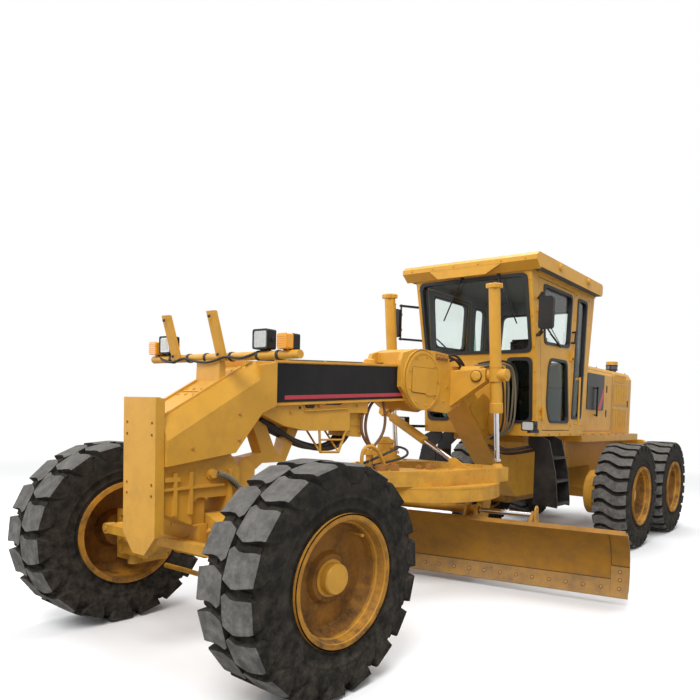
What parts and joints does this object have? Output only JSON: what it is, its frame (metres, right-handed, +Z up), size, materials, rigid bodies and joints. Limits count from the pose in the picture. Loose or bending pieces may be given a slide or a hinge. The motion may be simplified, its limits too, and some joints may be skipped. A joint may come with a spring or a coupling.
{
  "type": "motor grader",
  "caption": "Articulated road grader: leaning steered front wheels, arched axle, turning and tilting blade under a box beam, hollow cab with hinged doors, tandem rear wheels.",
  "frame": {"origin": "on the ground under the middle of the machine's overall length and width", "axes": "-Y towards the front, +X to the machine's own left, +Z up"},
  "size_m": [3.9473, 8.2661, 3.1874],
  "materials": {
    "yellow_paint": "satin",
    "black_paint": "satin",
    "black_plastic": "matte",
    "signal_plastic": "gloss",
    "steel": "worn",
    "chrome_rod": "polished",
    "tyre_rubber": "matte",
    "glass": "clear",
    "seat_fabric": "woven"
  },
  "bodies": {
    "rear_frame": {"rear_frame": "yellow_paint", "engine": "black_paint", "engine_hood": "yellow_paint", "side_plates": "black_plastic", "intake_and_exhaust": "yellow_paint", "tail_lamps": "signal_plastic"},
    "front_frame": {"front_frame": "yellow_paint", "push_plate": "yellow_paint", "light_bar": "black_paint", "head_lamps": "black_plastic", "signal_lamps": "signal_plastic", "lift_saddle": "yellow_paint", "cab_shell": "yellow_paint", "cab_roof": "yellow_paint", "cab_glass": "glass", "seat": "seat_fabric", "steering_column": "black_plastic", "mirrors": "black_plastic", "access_steps": "black_paint"},
    "front_axle": {"front_axle": "yellow_paint", "steering_barrels": "yellow_paint"},
    "lean_housing_left": {"lean_housing_left": "yellow_paint"},
    "lean_housing_right": {"lean_housing_right": "yellow_paint"},
    "lean_bar": {"lean_bar": "yellow_paint"},
    "knuckle_left": {"knuckle_left": "yellow_paint"},
    "knuckle_right": {"knuckle_right": "yellow_paint"},
    "tie_rod_end": {"tie_rod_end": "yellow_paint"},
    "tie_rod": {"tie_rod": "yellow_paint"},
    "steering_rod_left": {"steering_rod_left": "chrome_rod"},
    "steering_rod_right": {"steering_rod_right": "chrome_rod"},
    "front_wheel_left": {"front_tyre_left": "tyre_rubber", "front_rim_left": "yellow_paint"},
    "front_wheel_right": {"front_tyre_right": "tyre_rubber", "front_rim_right": "yellow_paint"},
    "tandem_left": {"tandem_left": "yellow_paint"},
    "tandem_right": {"tandem_right": "yellow_paint"},
    "fore_wheel_left": {"fore_tyre_left": "tyre_rubber", "fore_rim_left": "yellow_paint"},
    "fore_wheel_right": {"fore_tyre_right": "tyre_rubber", "fore_rim_right": "yellow_paint"},
    "aft_wheel_left": {"aft_tyre_left": "tyre_rubber", "aft_rim_left": "yellow_paint"},
    "aft_wheel_right": {"aft_tyre_right": "tyre_rubber", "aft_rim_right": "yellow_paint"},
    "lift_barrels": {"lift_barrels": "yellow_paint"},
    "lift_rods": {"lift_rods": "chrome_rod"},
    "centre_shift_barrel": {"centre_shift_barrel": "yellow_paint"},
    "centre_shift_rod": {"centre_shift_rod": "chrome_rod"},
    "drawbar": {"drawbar": "yellow_paint"},
    "circle": {"circle": "yellow_paint"},
    "tilt_frame": {"tilt_brackets": "yellow_paint", "side_shift_barrel": "yellow_paint"},
    "blade": {"moldboard": "yellow_paint", "side_shift_rod": "chrome_rod", "cutting_edge": "steel"},
    "door_left": {"door_left": "yellow_paint", "door_glass_left": "glass"},
    "door_right": {"door_right": "yellow_paint", "door_glass_right": "glass"}
  },
  "joints": [
    {"name": "articulation", "type": "hinge", "parent": "rear_frame", "child": "front_frame", "pos_m": [0, 1.294, 0.95], "axis": [0, 0, 1], "range_deg": [-20, 20]},
    {"name": "axle_oscillation", "type": "hinge", "parent": "front_frame", "child": "front_axle", "pos_m": [0, -3.486, 0.8], "axis": [0, 1, 0], "range_deg": [-16, 16]},
    {"name": "wheel_lean_left", "type": "hinge", "parent": "front_axle", "child": "lean_housing_left", "pos_m": [0.8, -3.486, 0.56], "axis": [0, 1, 0], "range_deg": [-18, 18]},
    {"name": "wheel_lean_right", "type": "hinge", "parent": "front_axle", "child": "lean_housing_right", "pos_m": [-0.8, -3.486, 0.56], "axis": [0, 1, 0], "range_deg": [-18, 18]},
    {"name": "lean_bar_swing", "type": "hinge", "parent": "lean_housing_left", "child": "lean_bar", "pos_m": [0.8, -3.671, 0.705], "axis": [0, 1, 0], "range_deg": [-18, 18]},
    {"name": "steering_left", "type": "hinge", "parent": "lean_housing_left", "child": "knuckle_left", "pos_m": [0.8, -3.486, 0.648], "axis": [0, 0, 1], "range_deg": [-45, 45]},
    {"name": "steering_right", "type": "hinge", "parent": "lean_housing_right", "child": "knuckle_right", "pos_m": [-0.8, -3.486, 0.648], "axis": [0, 0, 1], "range_deg": [-45, 45]},
    {"name": "tie_rod_end_turn", "type": "hinge", "parent": "knuckle_left", "child": "tie_rod_end", "pos_m": [0.8, -3.266, 0.375], "axis": [0, 0, 1], "range_deg": [-45, 45]},
    {"name": "tie_rod_swing", "type": "hinge", "parent": "tie_rod_end", "child": "tie_rod", "pos_m": [0.8, -3.266, 0.375], "axis": [0, 1, 0], "range_deg": [-18, 18]},
    {"name": "steering_rod_slide_left", "type": "slide", "parent": "front_axle", "child": "steering_rod_left", "axis": [1, 0, 0], "range_m": [-0.114, 0.114]},
    {"name": "steering_rod_slide_right", "type": "slide", "parent": "front_axle", "child": "steering_rod_right", "axis": [1, 0, 0], "range_m": [-0.114, 0.114]},
    {"name": "front_wheel_spin_left", "type": "hinge", "parent": "knuckle_left", "child": "front_wheel_left", "pos_m": [1.055, -3.486, 0.648], "axis": [1, 0, 0], "continuous": true},
    {"name": "front_wheel_spin_right", "type": "hinge", "parent": "knuckle_right", "child": "front_wheel_right", "pos_m": [-1.055, -3.486, 0.648], "axis": [1, 0, 0], "continuous": true},
    {"name": "tandem_rock_left", "type": "hinge", "parent": "rear_frame", "child": "tandem_left", "pos_m": [0.7, 2.6, 0.648], "axis": [1, 0, 0], "range_deg": [-13, 13]},
    {"name": "tandem_rock_right", "type": "hinge", "parent": "rear_frame", "child": "tandem_right", "pos_m": [-0.7, 2.6, 0.648], "axis": [1, 0, 0], "range_deg": [-13, 13]},
    {"name": "fore_wheel_spin_left", "type": "hinge", "parent": "tandem_left", "child": "fore_wheel_left", "pos_m": [1.055, 1.8385, 0.648], "axis": [1, 0, 0], "continuous": true},
    {"name": "aft_wheel_spin_left", "type": "hinge", "parent": "tandem_left", "child": "aft_wheel_left", "pos_m": [1.055, 3.3615, 0.648], "axis": [1, 0, 0], "continuous": true},
    {"name": "fore_wheel_spin_right", "type": "hinge", "parent": "tandem_right", "child": "fore_wheel_right", "pos_m": [-1.055, 1.8385, 0.648], "axis": [1, 0, 0], "continuous": true},
    {"name": "aft_wheel_spin_right", "type": "hinge", "parent": "tandem_right", "child": "aft_wheel_right", "pos_m": [-1.055, 3.3615, 0.648], "axis": [1, 0, 0], "continuous": true},
    {"name": "drawbar_lift", "type": "hinge", "parent": "front_frame", "child": "drawbar", "pos_m": [0, -3.186, 1.08], "axis": [1, 0, 0], "range_deg": [-14.5, 10]},
    {"name": "lift_barrel_swing", "type": "hinge", "parent": "front_frame", "child": "lift_barrels", "pos_m": [0, -0.7986, 1.96], "axis": [1, 0, 0], "range_deg": [-5.5, 3.8]},
    {"name": "lift_rod_slide", "type": "slide", "parent": "lift_barrels", "child": "lift_rods", "axis": [0, -0.1035, 0.9946], "range_m": [-0.625, 0.43]},
    {"name": "centre_shift_swing", "type": "hinge", "parent": "front_frame", "child": "centre_shift_barrel", "pos_m": [-0.47, -1.086, 1.58], "axis": [0, 1, 0], "range_deg": [-17.1, 24.8]},
    {"name": "centre_shift_slide", "type": "slide", "parent": "centre_shift_barrel", "child": "centre_shift_rod", "axis": [0.8858, 0, -0.464], "range_m": [-0.172, 0.249]},
    {"name": "circle_turn", "type": "hinge", "parent": "drawbar", "child": "circle", "pos_m": [0, -1.106, 0.888], "axis": [0, 0, 1], "range_deg": [-49.5, 30.5]},
    {"name": "blade_tip", "type": "hinge", "parent": "circle", "child": "tilt_frame", "pos_m": [-0.03301, -0.90874, 0.235], "axis": [0.9863, 0.165, 0], "range_deg": [-5, 40]},
    {"name": "blade_side_shift", "type": "slide", "parent": "tilt_frame", "child": "blade", "axis": [0.9863, 0.165, 0], "range_m": [-0.51, 0.66]},
    {"name": "door_hinge_left", "type": "hinge", "parent": "front_frame", "child": "door_left", "pos_m": [0.7265, -0.0485, 2.22], "axis": [0, 0.1365, -0.9906], "range_deg": [0, 75]},
    {"name": "door_hinge_right", "type": "hinge", "parent": "front_frame", "child": "door_right", "pos_m": [-0.7265, -0.0485, 2.22], "axis": [0, -0.1365, 0.9906], "range_deg": [0, 75]}
  ],
  "couplings": [
    {"joint": "wheel_lean_right", "follows": "wheel_lean_left", "ratio": 1},
    {"joint": "lean_bar_swing", "follows": "wheel_lean_left", "ratio": -1},
    {"joint": "steering_right", "follows": "steering_left", "ratio": 1},
    {"joint": "tie_rod_end_turn", "follows": "steering_left", "ratio": -1},
    {"joint": "tie_rod_swing", "follows": "wheel_lean_left", "ratio": -1},
    {"joint": "steering_rod_slide_left", "follows": "steering_left", "m_per_rad": -0.144},
    {"joint": "steering_rod_slide_right", "follows": "steering_left", "m_per_rad": -0.144},
    {"joint": "lift_barrel_swing", "follows": "drawbar_lift", "ratio": 0.37},
    {"joint": "lift_rod_slide", "follows": "drawbar_lift", "m_per_rad": 2.452},
    {"joint": "centre_shift_swing", "follows": "drawbar_lift", "ratio": -1.7},
    {"joint": "centre_shift_slide", "follows": "drawbar_lift", "m_per_rad": -0.97}
  ]
}
